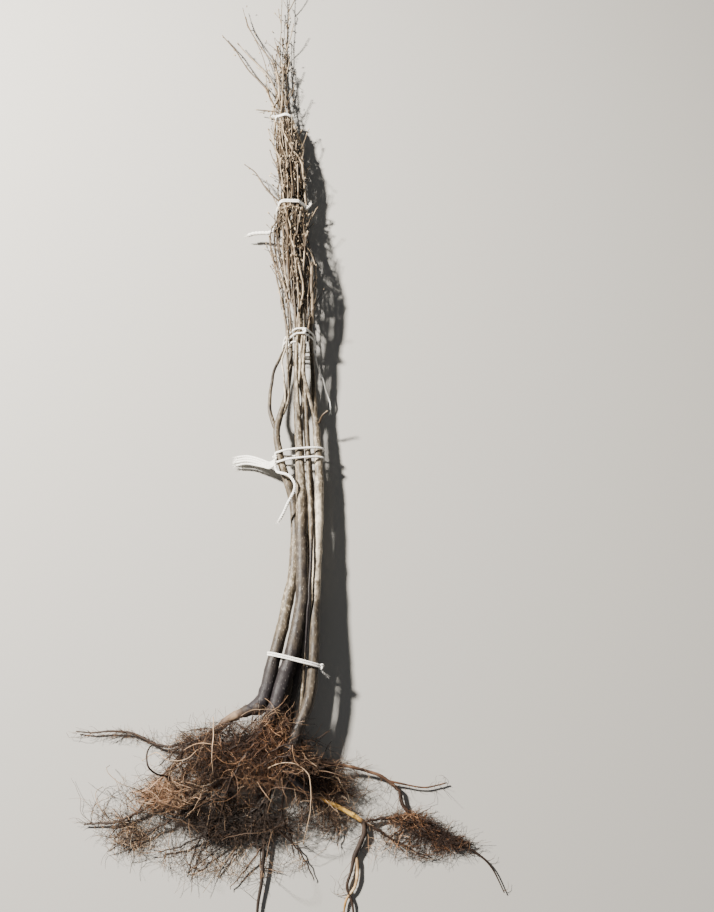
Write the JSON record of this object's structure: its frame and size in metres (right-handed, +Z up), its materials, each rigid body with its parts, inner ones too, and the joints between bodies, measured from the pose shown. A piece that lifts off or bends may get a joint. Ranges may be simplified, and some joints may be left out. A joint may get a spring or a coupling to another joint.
{
  "type": "bare rooted sapling bundle",
  "caption": "Bundle of young leafless trees with bare roots, lying down, its slim stems and crowns tied together with pale string for planting out.",
  "frame": {"origin": "centre of the bounding box's underside, on the ground that the bundle lies on", "axes": "+Y along the bundle from the roots to the crown, +Z up from the ground, +X to the right seen from above with the crown ahead"},
  "size_m": [0.5929, 1.7762, 0.0643],
  "materials": {
    "bark": "matte",
    "twigs": "matte",
    "root_bark": "matte",
    "root_fibres": "matte",
    "string": "matte"
  },
  "bodies": {
    "root": {"bough_left": "bark", "crown_a": "twigs", "crown_b": "twigs", "crown_c": "twigs", "crown_centre_leader": "twigs", "crown_d": "twigs", "crown_e": "twigs", "crown_g": "twigs", "crown_k": "twigs", "crown_left": "twigs", "crown_left_leader": "twigs", "crown_right_leader": "twigs", "crown_slender_leader": "twigs", "crown_under_leader": "twigs", "fibres_centre": "root_fibres", "fibres_left_lower": "root_fibres", "fibres_left_upper": "root_fibres", "fibres_right": "root_fibres", "fibres_slender": "root_fibres", "fibres_under": "root_fibres", "root_centre": "root_bark", "root_left": "root_bark", "root_left_side": "root_bark", "root_right": "root_bark", "root_right_far": "root_bark", "root_right_low": "root_bark", "root_right_upper": "root_bark", "root_under": "root_bark", "stem_centre": "bark", "stem_left": "bark", "stem_right": "bark", "stem_slender": "bark", "stem_under": "bark", "tie_collar": "string", "tie_high": "string", "tie_low": "string", "tie_middle": "string", "tie_top": "string", "twig_low": "twigs"}
  },
  "joints": []
}
